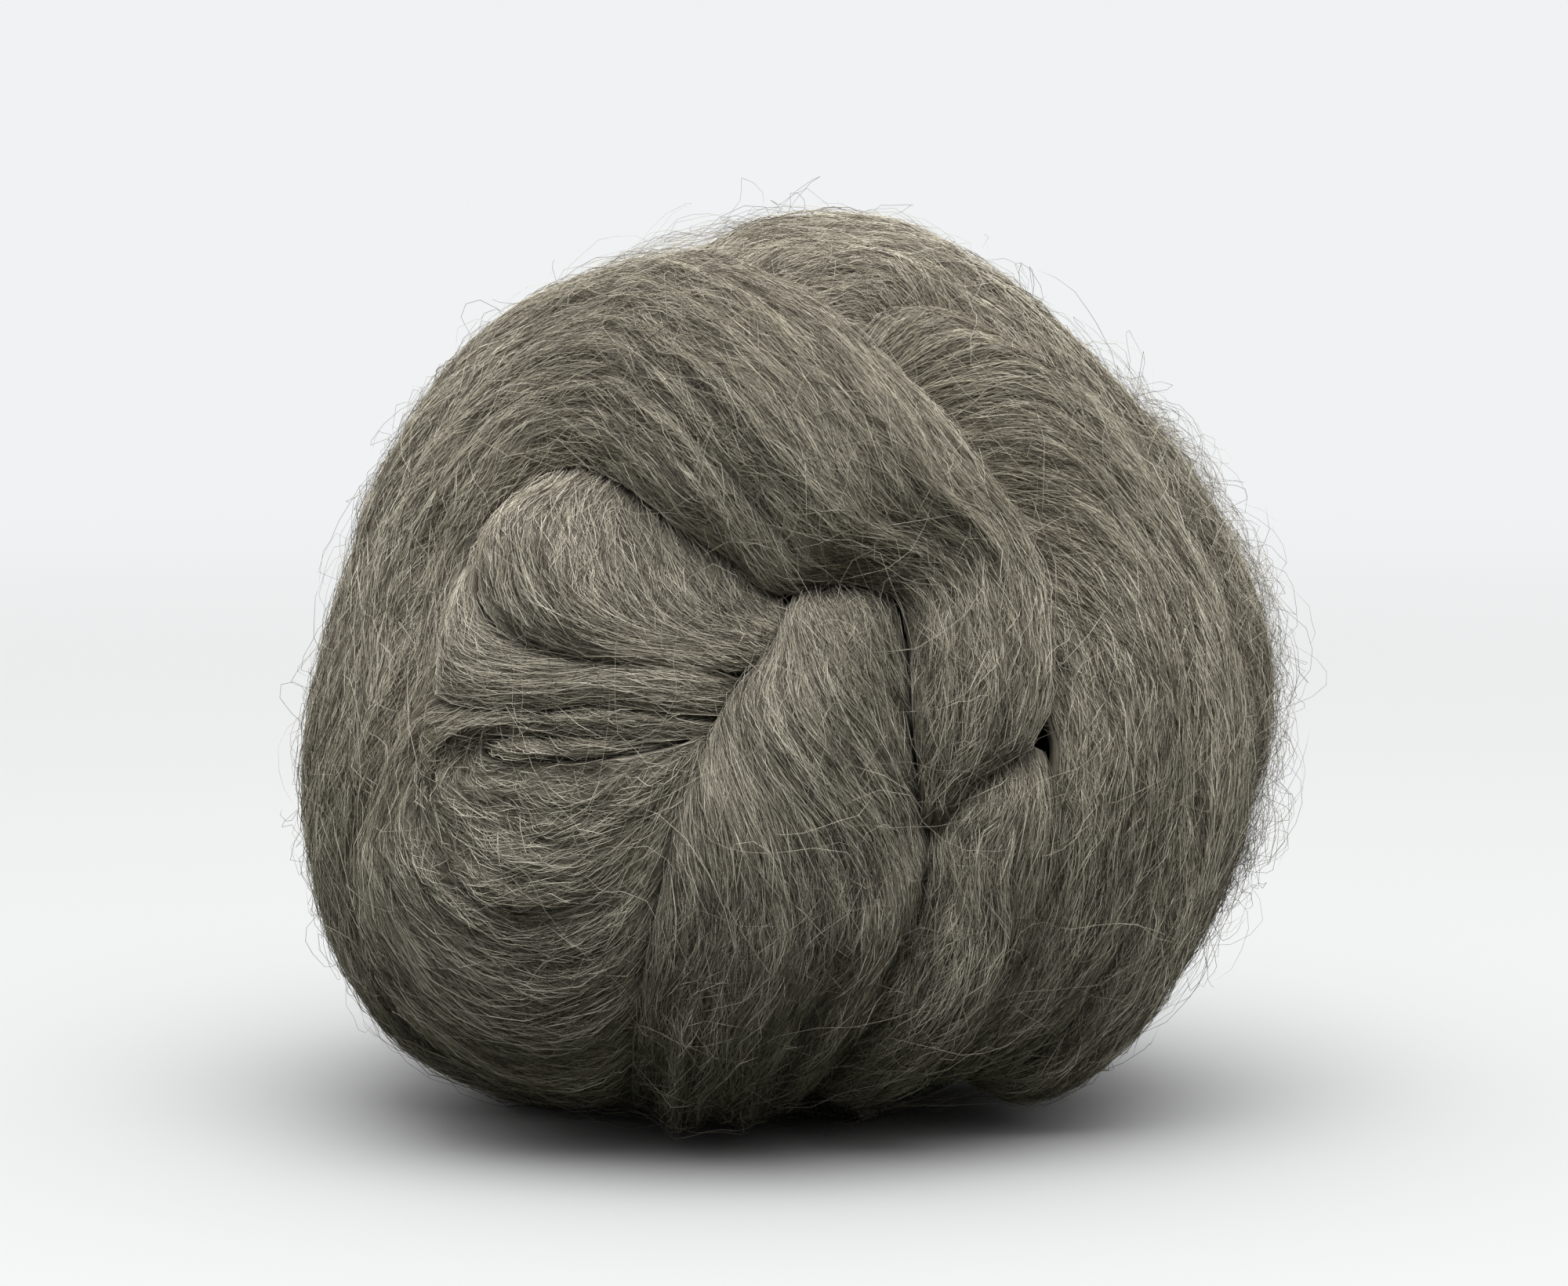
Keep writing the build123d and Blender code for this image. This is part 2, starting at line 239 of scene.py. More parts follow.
            (-142, 7, -130, -55, 0.0, 0), (-118, 8, -111, -50, -1.0, 0), (-100, 8, -96, -46, -7.0, 0),
        ],
    },
}

strandLook = {
    "rowStep": 1.5,          # mm between grid rows along a turn
    "columnStep": 0.44,      # mm between grid columns across it
    "arc": 2.15,             # length allowed for a section's arc, in halves of its chord
    "flattest": 0.15, "roundest": 0.85,          # limits of its rise, in halves of its chord
    "wallDepth": 1.5,        # thickness of a turn's closed wall of wool
    "wallStride": 5,         # columns of the outside to one column of the inside
    "tuck": 2.0,             # a turn passes this far below the one over it
    "creaseDrop": 0.4,       # depth of the crease at the edge of the turn above it
    "creaseSlope": 1.25,     # steepness of the crease beside a turn that lies over another
    "creaseReach": 14.0,     # how far that crease reaches from the edge
    "nap": 0.7,              # room left for the loose fibres
    "lockHeight": 0.30,      # relief of the locks of fibre
    "lockSpans": (60, 2.6),  # its wavelengths along and across the fibres
    "foldHeight": 0.75,      # relief of the broad soft ridges
    "foldSpans": (70, 11),
    "shoulder": 5,           # the relief fades out over this part (1/5) of the half width
    "fullHalf": 9, "leastRelief": 0.25,          # and is less where half the chord is under fullHalf
    "blendSteps": 3,         # how softly a turn dips under the one above it
    "overlap": 0.3,          # and how far it may rise past its limit there
    "floorGap": 0.05,        # under the ball
    "sampleStep": 0.25,      # spacing of the samples that map what lies over what
    "sampleArc": 2.2,        # as arc, for those samples
}


def carried(values, places):
    # Catmull-Rom curve through evenly numbered values, read at fractional places
    last = len(values) - 1
    start = np.clip(np.floor(places).astype(int), 0, last - 1)
    t = (places - start)[:, None]
    p = [values[np.clip(start + k, 0, last)] for k in (-1, 0, 1, 2)]
    return 0.5 * (
        2 * p[1] + (p[2] - p[0]) * t
        + (2 * p[0] - 5 * p[1] + 4 * p[2] - p[3]) * t ** 2
        + (3 * (p[1] - p[2]) + p[3] - p[0]) * t ** 3
    )


def sectionFrames(turn, places):
    # edges, chord, width, rise and axes of the cross-sections at fractional row places
    rows = np.array(turn["rows"], float)
    toWay = ringAim if turn.get("ring") else aim
    sideA = unit(carried(toWay(rows[:, 0], rows[:, 1]), places))
    sideB = unit(carried(toWay(rows[:, 2], rows[:, 3]), places))
    crown, drift = carried(rows[:, 4:6], places).T
    middle = unit(sideA + sideB)
    at, depthA, depthB = np.array(turn["edges"], float).T
    lowA = sideA * (reach(sideA) - np.interp(places, at, depthA))[:, None]
    lowB = sideB * (reach(sideB) - np.interp(places, at, depthB))[:, None]
    chord = (lowA + lowB) / 2
    half = np.linalg.norm(lowB - lowA, axis=1) / 2
    rise = dot(middle * (reach(middle) + crown)[:, None] - chord, middle)[:, 0]
    rise = np.clip(rise, strandLook["flattest"] * half, strandLook["roundest"] * half)
    axis = unit(lowB - lowA)
    outward = unit(middle - axis * dot(middle, axis))
    return chord, half, rise, axis, outward, drift


def sectionArc(frames, across):
    # the arc of each cross-section: v runs from -1 at the first edge to +1 at the second
    chord, half, rise, axis, outward, _ = frames
    bend = 2 * np.arctan2(rise, half)
    radius = half / np.sin(bend)
    phi = across[None, :] * bend[:, None]
    level = radius[:, None] * (np.cos(phi) - 1) + rise[:, None]
    sideways = radius[:, None] * np.sin(phi)
    return chord[:, None] + axis[:, None] * sideways[..., None] + outward[:, None] * level[..., None]


# of the random draws: the first seeds, to which a turn's or a group's number is added, and the
# steps from a turn's seed to the seeds of its parts
seeds = {"relief": 100, "combed": 300, "stray": 8}
seedSteps = {"ridges": 50, "knob": 50, "meander": 20, "lockTone": 9, "fineTone": 21}


def waves(seed, x, y, spanX, spanY, count=14):
    # smooth random relief: a sum of sines of random direction and phase, whose wavelengths are 0.6
    # to 2 times the spans, and up to 3 times as long again in x
    rng = np.random.default_rng(seed)
    total = np.zeros(np.broadcast(x, y).shape)
    for _ in range(count):
        scale = rng.uniform(0.5, 1.6)
        kx, ky = rng.choice([-1, 1]) * 2 * math.pi * scale / spanX, 2 * math.pi * scale / spanY
        total += np.sin(kx * x * rng.uniform(0.3, 1) + ky * y + rng.uniform(0, 2 * math.pi))
    return total / math.sqrt(count / 2)


# what lies over what
mapSize = 256
unlimited = 999.0
ceiling = np.full(6 * mapSize ** 2, unlimited)   # radius that lower turns stay under, by direction
covered = np.zeros(6 * mapSize ** 2, bool)       # directions that a turn already covers
skin = np.zeros(6 * mapSize ** 2)                # radius of the uppermost surface, by direction


def texel(way):
    # cell of a cube-shaped map that a direction falls in
    size = np.abs(way)
    face = np.argmax(size, axis=-1)
    major = np.take_along_axis(way, face[..., None], -1)[..., 0]
    first = np.take_along_axis(way, ((face + 1) % 3)[..., None], -1)[..., 0] / np.abs(major)
    second = np.take_along_axis(way, ((face + 2) % 3)[..., None], -1)[..., 0] / np.abs(major)
    i = np.clip(((first + 1) / 2 * mapSize).astype(int), 0, mapSize - 1)
    j = np.clip(((second + 1) / 2 * mapSize).astype(int), 0, mapSize - 1)
    return ((face * 2 + (major > 0)) * mapSize + i) * mapSize + j


def spread(grid, combine):
    # each cell of the map joined with its neighbours, which closes pinholes between samples
    cells = grid.reshape(6, mapSize, mapSize).copy()
    for axis in (1, 2):
        padded = np.concatenate([np.take(cells, [0], axis), cells, np.take(cells, [-1], axis)], axis)
        before = np.take(padded, range(mapSize), axis)
        after = np.take(padded, range(2, mapSize + 2), axis)
        cells = combine(cells, combine(before, after))
    return cells.ravel()


def readGrid(values, rows, columns):
    # values of a grid at fractional rows and columns: the mean of four points by nearness
    rows = np.clip(rows, 0, values.shape[0] - 1.001)
    columns = np.clip(columns, 0, values.shape[1] - 1.001)
    i, j = rows.astype(int), columns.astype(int)
    fi, fj = rows - i, columns - j
    if values.ndim == 3:
        fi, fj = fi[..., None], fj[..., None]
    low = values[i, j] * (1 - fj) + values[i, j + 1] * fj
    high = values[i + 1, j] * (1 - fj) + values[i + 1, j + 1] * fj
    return low * (1 - fi) + high * fi


def smoothed(values, times):
    # mean with the four neighbours, repeated
    for _ in range(times):
        padded = np.pad(values, 1, mode="edge")
        beside = padded[:-2, 1:-1] + padded[2:, 1:-1] + padded[1:-1, :-2] + padded[1:-1, 2:]
        values = (beside + values) / 5
    return values


walkSteps = 400          # along a turn's midline, to measure its length


def layTurn(name, seed):
    # grid of points of a turn's outer surface, relative to the ball's centre: the arc of each
    # cross-section, plus relief along the fibres, held under what is already laid over it
    turn, look = turns[name], strandLook
    rowCount = len(turn["rows"])
    fine = np.linspace(0, rowCount - 1, walkSteps)
    midline = sectionArc(sectionFrames(turn, fine), np.zeros(1))[:, 0]
    walked = np.concatenate([[0], np.cumsum(np.linalg.norm(np.diff(midline, axis=0), axis=1))])
    length = walked[-1]
    placeCount = int(length / look["rowStep"]) + 2
    places = np.interp(np.linspace(0, length, placeCount), walked, fine)
    frames = sectionFrames(turn, places)
    half, drift = frames[1], frames[5]
    columnCount = int(look["arc"] * half.max() / look["columnStep"]) + 2
    across = np.linspace(-1, 1, columnCount)
    points = sectionArc(frames, across)
    radii = np.linalg.norm(points, axis=2)
    ways = points / radii[..., None]

    along = np.linspace(0, length, placeCount)[:, None]
    flow = (across[None, :] - drift[:, None]) * half.mean()
    relief = look["lockHeight"] * waves(seed, along, flow, *look["lockSpans"])
    ridges = waves(seed + seedSteps["ridges"], along, flow, *look["foldSpans"])
    relief += look["foldHeight"] * turn.get("fold", 1) * ridges
    shoulder = np.clip((1 - np.abs(across)) * look["shoulder"], 0, 1)[None, :]
    narrow = np.clip(half / look["fullHalf"], look["leastRelief"], 1)[:, None]
    radii = radii + relief * shoulder * narrow - look["nap"]

    held = np.minimum(radii, ceiling[texel(ways)])
    dip = smoothed(radii - held, look["blendSteps"])
    radii = np.minimum(radii - dip, held + look["overlap"])
    lowest = (look["floorGap"] - ballCentre[2]) / np.minimum(ways[..., 2], -1e-6)
    onFloor = (ways[..., 2] < 0) & (radii > lowest)
    radii = np.where(onFloor, lowest, radii)
    hidden = covered[texel(ways)]
    points = ways * radii[..., None]

    # what comes next stays below this turn, and falls into a crease beside it
    denseRows = np.linspace(0, placeCount - 1, int(length / look["sampleStep"]))
    denseCount = int(look["sampleArc"] * half.max() / look["sampleStep"])
    denseColumns = np.linspace(0, columnCount - 1, denseCount)
    body = readGrid(points, *np.meshgrid(denseRows, denseColumns, indexing="ij"))
    bodyRadius = np.linalg.norm(body, axis=2)
    cells = texel(body / bodyRadius[..., None]).ravel()
    fresh = np.full(ceiling.shape, unlimited)
    np.minimum.at(fresh, cells, bodyRadius.ravel() - look["tuck"])
    top = np.zeros(skin.shape)
    np.maximum.at(top, cells, bodyRadius.ravel())
    steps = np.linspace(0, look["creaseReach"], int(look["creaseReach"] / look["sampleStep"]))
    drop, slope = (turn.get(key, look[key]) for key in ("creaseDrop", "creaseSlope"))
    # each edge, with a column beside it that gives its way out
    noColumn = np.zeros(len(denseRows))
    for column, inner in ((0, 3), (-1, -4)):
        edge = readGrid(points[:, [column, column]], denseRows, noColumn)
        away = unit(edge - readGrid(points[:, [inner, inner]], denseRows, noColumn))
        away = unit(away - unit(edge) * dot(away, unit(edge)))
        crease = edge[:, None] + away[:, None] * steps[None, :, None]
        limit = np.linalg.norm(edge, axis=1)[:, None] - drop + slope * steps
        np.minimum.at(fresh, texel(unit(crease)).ravel(), limit.ravel())
    top = spread(top, np.maximum)
    skin[:] = np.where(skin > 0, skin, top)
    ceiling[:] = np.minimum(ceiling, spread(fresh, np.minimum))
    covered[:] = skin > 0
    last = placeCount - 1
    cut = int(np.searchsorted(places, turn["knobRows"])) if "knobRows" in turn else 0
    shares = [("knob_fold", 0, cut), (name, cut, last)] if cut else [(name, 0, last)]
    # the turn's tone, painted shade below 0 and painted light above 0, goes with it to its fibres
    return {
        "points": points, "hidden": hidden, "along": along, "flow": flow, "drift": drift,
        "length": length, "half": half, "shares": shares, "tone": turn.get("tone", 0),
    }


def normalsOf(points):
    # outward unit normals of a grid: the cross product of its two gradients
    normal = unit(np.cross(np.gradient(points, axis=0), np.gradient(points, axis=1)))
    return normal * np.sign(dot(normal, points))


# materials
def linear(red, green, blue):
    # linear colour of an sRGB colour given in 0..255
    share = np.array([red, green, blue]) / 255
    low, high = share / 12.92, ((share + 0.055) / 1.055) ** 2.4
    return tuple(float(c) for c in np.where(share <= 0.04045, low, high)) + (1.0,)


class Wire:
    # one socket in a node tree; arithmetic on it adds Math nodes
    def __init__(self, tree, socket=None):
        self.tree, self.socket = tree, socket

    def node(self, kind, settings=None, sockets=None, output=0):
        made = self.tree.nodes.new(kind)
        for name, value in (settings or {}).items():
            if name == "stops":
                ramp = made.color_ramp
                while len(ramp.elements) < len(value):
                    ramp.elements.new(0.5)
                for element, (place, colour) in zip(ramp.elements, value):
                    element.position, element.color = place, colour
            else:
                setattr(made, name, value)
        for name, value in (sockets or {}).items():
            if isinstance(value, Wire):
                self.tree.links.new(value.socket, made.inputs[name])
            else:
                made.inputs[name].default_value = value
        return Wire(self.tree, made.outputs[output] if len(made.outputs) else None)

    def math(self, operation, first, second):
        return self.node("ShaderNodeMath", {"operation": operation}, {0: first, 1: second})

    def __add__(self, other):
        return self.math("ADD", self, other)

    def __mul__(self, other):
        return self.math("MULTIPLY", self, other)

    __radd__, __rmul__ = __add__, __mul__


def newMaterial(name):
    # an empty material and the wire that its nodes are added by
    material = bpy.data.materials.new(name)
    material.use_nodes = True
    material.node_tree.nodes.clear()
    return material, Wire(material.node_tree)


woolLook = {
    "dark": linear(94, 86, 75), "mid": linear(176, 168, 151), "grey": linear(207, 200, 182),
    "pale": linear(240, 234, 216), "specular": 0.1, "sheen": 0.1, "sheenRoughness": 0.45,
    "roughness": 0.62, "roughnessSwing": 0.1,    # the streaks change it by up to this much
    "bumpStrength": 0.6,
    "paintedGapShade": 0.45,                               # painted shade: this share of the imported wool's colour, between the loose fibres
    # where the colours stand on the ramp from dark to pale
    "packedStops": (0.36, 0.47, 0.56, 0.68), "fibreStops": (0.05, 0.38, 0.62, 0.95),
    "innerStops": (0.35, 0.5, 0.68),
    # noise cells along and across the fibres for each 100 mm, and their detail
    "fineStreaks": (9, 420, 3.0), "lockStreaks": (2.5, 45, 2.0),
    "fineShare": 0.65, "lockShare": 0.35,
    "innerCells": (2500, 400, 2500),             # noise cells for each metre, inside the ball
    "packedBump": 0.12, "innerBump": 0.2,        # mm
}


def woolShader(tree, colour, streaks=None, depth=0):
    # the plain finish that all the wool shares, which streaks make rougher and raise by a depth in mm
    look = woolLook
    sockets = {
        "Base Color": colour, "Roughness": look["roughness"], "Specular IOR Level": look["specular"],
        "Sheen Weight": look["sheen"], "Sheen Roughness": look["sheenRoughness"],
    }
    if streaks is not None:
        swing = look["roughnessSwing"]
        sockets["Roughness"] = streaks * (2 * swing) + (look["roughness"] - swing)
        sockets["Normal"] = tree.node("ShaderNodeBump", None, {
            "Height": streaks, "Strength": look["bumpStrength"], "Distance": depth * mm})
    shader = tree.node("ShaderNodeBsdfPrincipled", None, sockets)
    tree.node("ShaderNodeOutputMaterial", None, {"Surface": shader})


def woolRamp(tree, tone, places, share=1):
    # the wool's colours from dark to pale at their places on a ramp, each times a share; for the packed
    # wool that share is painted shade
    stops = []
    for place, key in zip(places, ("dark", "mid", "grey", "pale")):
        stops.append((place, tuple(c * share for c in woolLook[key][:3]) + (1.0,)))
    return tree.node("ShaderNodeValToRGB", {"stops": stops}, {"Fac": tone})


def packedWool(name, share):
    # streaks that run along the fibres, on the flow map: fine ones and locks, added by their shares
    material, tree = newMaterial(name)
    flow = tree.node("ShaderNodeUVMap", {"uv_map": "flow"})
    look = woolLook

    def streaks(longWay, across, detail):
        # noise with so many cells along and across the fibres
        cells = tree.node("ShaderNodeVectorMath", {"operation": "MULTIPLY"}, {
            0: flow, 1: (longWay, across, 1)})
        return tree.node("ShaderNodeTexNoise", None, {
            "Vector": cells, "Scale": 1.0, "Detail": detail, "Roughness": 0.6, "Distortion": 0.15})

    fine, locks = streaks(*look["fineStreaks"]), streaks(*look["lockStreaks"])
    tone = fine * look["fineShare"] + locks * look["lockShare"]
    # share darkens the ramp's colours as painted shade between the loose fibres
    woolShader(tree, woolRamp(tree, tone, look["packedStops"], share), fine, look["packedBump"])
    return material


def fibreWool(name):
    # each fibre lies in one row of its own map, and the height of that row is its tone
    material, tree = newMaterial(name)
    place = tree.node("ShaderNodeUVMap", {"uv_map": "OFBake"})
    tone = tree.node("ShaderNodeSeparateXYZ", None, {"Vector": place}, 1)
    woolShader(tree, woolRamp(tree, tone, woolLook["fibreStops"]))
    return material


def innerWool(name):
    # the wool inside, streaked across the ball
    material, tree = newMaterial(name)
    look = woolLook
    place = tree.node("ShaderNodeTexCoord", None, None, 3)
    cells = tree.node("ShaderNodeVectorMath", {"operation": "MULTIPLY"}, {
        0: place, 1: look["innerCells"]})
    fine = tree.node("ShaderNodeTexNoise", None, {"Vector": cells, "Scale": 1.0, "Detail": 3.0})
    woolShader(tree, woolRamp(tree, fine, look["innerStops"]), fine, look["innerBump"])
    return material


# meshes
flowUnit = 100           # mm of wool to one unit of the flow map


def makePiece(name, vertices, faces, cornerUv, uvName, material):
    # a mesh piece from whole arrays: faces is a list of index arrays, one for each number of corners
    mesh = bpy.data.meshes.new(name)
    mesh.vertices.add(len(vertices))
    mesh.vertices.foreach_set("co", ((vertices + ballCentre) * mm).astype(np.float32).ravel())
    corners = np.concatenate([group.ravel() for group in faces]).astype(np.int32)
    sizes = np.concatenate([np.full(len(group), group.shape[1]) for group in faces])
    mesh.loops.add(len(corners))
    mesh.loops.foreach_set("vertex_index", corners)
    mesh.polygons.add(len(sizes))
    starts = np.concatenate([[0], np.cumsum(sizes)[:-1]])
    mesh.polygons.foreach_set("loop_start", starts.astype(np.int32))
    mesh.update(calc_edges=True)
    mesh.shade_smooth()
    layer = mesh.uv_layers.new(name=uvName)
    layer.uv.foreach_set("vector", cornerUv.astype(np.float32).ravel())
    mesh.materials.append(material)
    piece = bpy.data.objects.new(name, mesh)
    bpy.context.scene.collection.objects.link(piece)
    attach(piece, "root")
    return piece


def wallPiece(laid, name, firstRow, lastRow, material):
    # the turn's outer surface closed by a wall of even thickness: each row is a ring that runs across
    # the outside and back along the inside, and a point closes the ring at each end
    rows, look = slice(firstRow, lastRow + 1), strandLook
    points, flow = laid["points"][rows], laid["flow"][rows]
    rowCount, columnCount = points.shape[:2]
    stride = look["wallStride"]
    radii = np.linalg.norm(points, axis=2)
    back = np.unique(np.append(np.arange(0, columnCount, stride), columnCount - 1))[::-1]
    near = np.clip(back[:, None] + np.arange(-stride, stride + 1), 0, columnCount - 1)
    innerRadii = radii[:, near].min(2) - look["wallDepth"]
    inner = points[:, back] / radii[:, back][..., None] * innerRadii[..., None]
    rings = np.concatenate([points, inner], 1)
    around = rings.shape[1]
    first, last = rings[0].mean(0), rings[-1].mean(0)
    vertices = np.concatenate([rings.reshape(-1, 3), [first, last]])
    index = np.arange(rowCount * around).reshape(rowCount, around)
    turned = np.roll(index, -1, 1)
    quads = np.stack([index[:-1], turned[:-1], turned[1:], index[1:]], -1).reshape(-1, 4)
    capA = np.stack([np.full(around, len(vertices) - 2), turned[0], index[0]], -1)
    capB = np.stack([np.full(around, len(vertices) - 1), index[-1], turned[-1]], -1)
    faces = [np.concatenate([capA, capB]), quads]
    a, b, c, d = (vertices[quads[:, k]] for k in range(4))
    volume = ((np.cross(a, b) * c).sum() + (np.cross(a, c) * d).sum()) / 6
    if volume < 0:           # inside out
        faces = [group[:, ::-1] for group in faces]
    flowAcross = np.concatenate([flow, flow[:, back]], 1)
    flowAlong = np.broadcast_to(laid["along"][rows], flowAcross.shape)
    uv = np.stack([flowAlong, flowAcross], -1).reshape(-1, 2)
    uv = np.concatenate([uv, uv[:1], uv[-1:]]) / flowUnit
    cornerUv = np.concatenate([uv[group.ravel()] for group in faces])
    piece = makePiece(name + "_wool", vertices, faces, cornerUv, "flow", material)
    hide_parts(name)
    return len(quads) * 2 + len(faces[0])


needleLook = {
    "bluntness": 0.4,            # the needle's thickness is the sine along it to this power
    "mapFrom": 0.03, "mapTo": 0.97,              # the needle's length on its map
    "mapRow": 1 / 1500,          # and its width there, which stays within one tone
    "darkest": 0.03, "palest": 0.96,             # limits of a tone
}


def needlePiece(name, paths, thick, tones, material):
    # closed tapered needles along paths: a tip, three-sided rings, and a tip. Across the needle the
    # ring's corners are thick/2 * (side cos a + lift sin a), with a in thirds of a turn
    look = needleLook
    count, steps = paths.shape[:2]
    tones = np.clip(tones, look["darkest"], look["palest"])
    tangent = unit(np.gradient(paths, axis=1))
    side = unit(np.cross(unit(paths), tangent))
    lift = np.cross(tangent, side)
    taper = np.sin(np.linspace(0, math.pi, steps)[1:-1]) ** look["bluntness"]
    size = (thick[:, None] / 2 * taper)[..., None, None]
    angles = np.radians([90, 210, 330])
    turnX, turnY = np.cos(angles)[:, None], np.sin(angles)[:, None]
    rings = paths[:, 1:-1, None] + size * (side[:, 1:-1, None] * turnX + lift[:, 1:-1, None] * turnY)
    vertices = np.concatenate([paths[:, :1], rings.reshape(count, -1, 3), paths[:, -1:]], 1)
    each = vertices.shape[1]
    k = np.arange(3)
    n = (k + 1) % 3
    ringStart = 1 + 3 * np.arange(steps - 3)[:, None]
    quad = np.stack([ringStart + k, ringStart + n, ringStart + 3 + n, ringStart + 3 + k], -1)
    quad = quad.reshape(-1, 4)
    lastRing = 1 + 3 * (steps - 3)
    tips = np.concatenate([np.stack([0 * k, 1 + n, 1 + k], -1),
                           np.stack([lastRing + k, lastRing + n, 0 * k + each - 1], -1)])
    offset = (np.arange(count) * each)[:, None, None]
    faces = [(tips[None] + offset).reshape(-1, 3), (quad[None] + offset).reshape(-1, 4)]
    share = np.linspace(look["mapFrom"], look["mapTo"], steps)
    tipX = np.repeat([[share[0], share[1], share[1]], [share[-2], share[-2], share[-1]]], 3, 0)
    tipY = np.concatenate([np.stack([k + 0.5, k + 1, k], -1), np.stack([k, k + 1, k + 0.5], -1)])
    quadX = np.stack([share[1:-2], share[1:-2], share[2:-1], share[2:-1]], -1)
    quadX = np.repeat(quadX[:, None], 3, 1).reshape(-1, 4)
    quadY = np.tile(np.stack([k, k + 1, k + 1, k], -1), (steps - 3, 1))
    uvs = []
    for x, y in ((tipX, tipY), (quadX, quadY)):
        allX = np.broadcast_to(x, (count,) + x.shape)
        allY = y[None] * look["mapRow"] + tones[:, None, None]
        uvs.append(np.stack([allX, allY], -1).reshape(-1, 2))
    makePiece(name, vertices.reshape(-1, 3), faces, np.concatenate(uvs), "OFBake", material)
    return count * (len(tips) + 2 * len(quad))


# the combed fibres
fibreLook = {
    "perArea": 3.4,              # fibres on each square mm at the front
    "backShare": 0.36,           # and this share of it at the back, where they are thicker
    "backThicker": 1.5,
    "middleShare": 0.6,          # how much the ball's middle counts as front, from 0 to 1
    "frontDepth": 40,            # and mm forward that count 1 more
    "points": 4, "mostInPiece": 16000,
    "shortest": 6.0, "longest": 12.5, "longShare": 0.12, "extraLength": 8.0,
    "mostOfTurn": 0.9,           # the longest fibre, as a share of its turn
    "thinnest": 0.055, "thickest": 0.115,
    "straying": 7.5,             # degrees off the flow
    "wildShare": 0.16, "wilder": 3,              # and for this share of them so many times more
    "mostStraying": 0.9,         # radians
    "bow": 0.35, "crimp": 0.13, "edgeLimit": 0.995,
    "lockWidth": 0.95, "gather": 0.55,           # fine locks, and how far fibres draw together in one
    "leastGather": 0.2, "meander": 0.8, "meanderSpans": (22, 7),
    "lift": 0.36, "unevenLift": 0.1, "aboveFloor": 0.15,
    "raisedShare": 0.12, "leastRaised": 0.3, "raised": 0.9,
    "freeShare": 0.04, "leastFree": 0.5, "freeEnd": 1.8,
    "middleTone": 0.5, "toneSpread": 0.30,
    "lockTone": 0.11, "lockSpans": (60, 3.2),
    "fineTone": 0.11, "fineTurn": 2.4, "fineSpans": (40, 20),
}


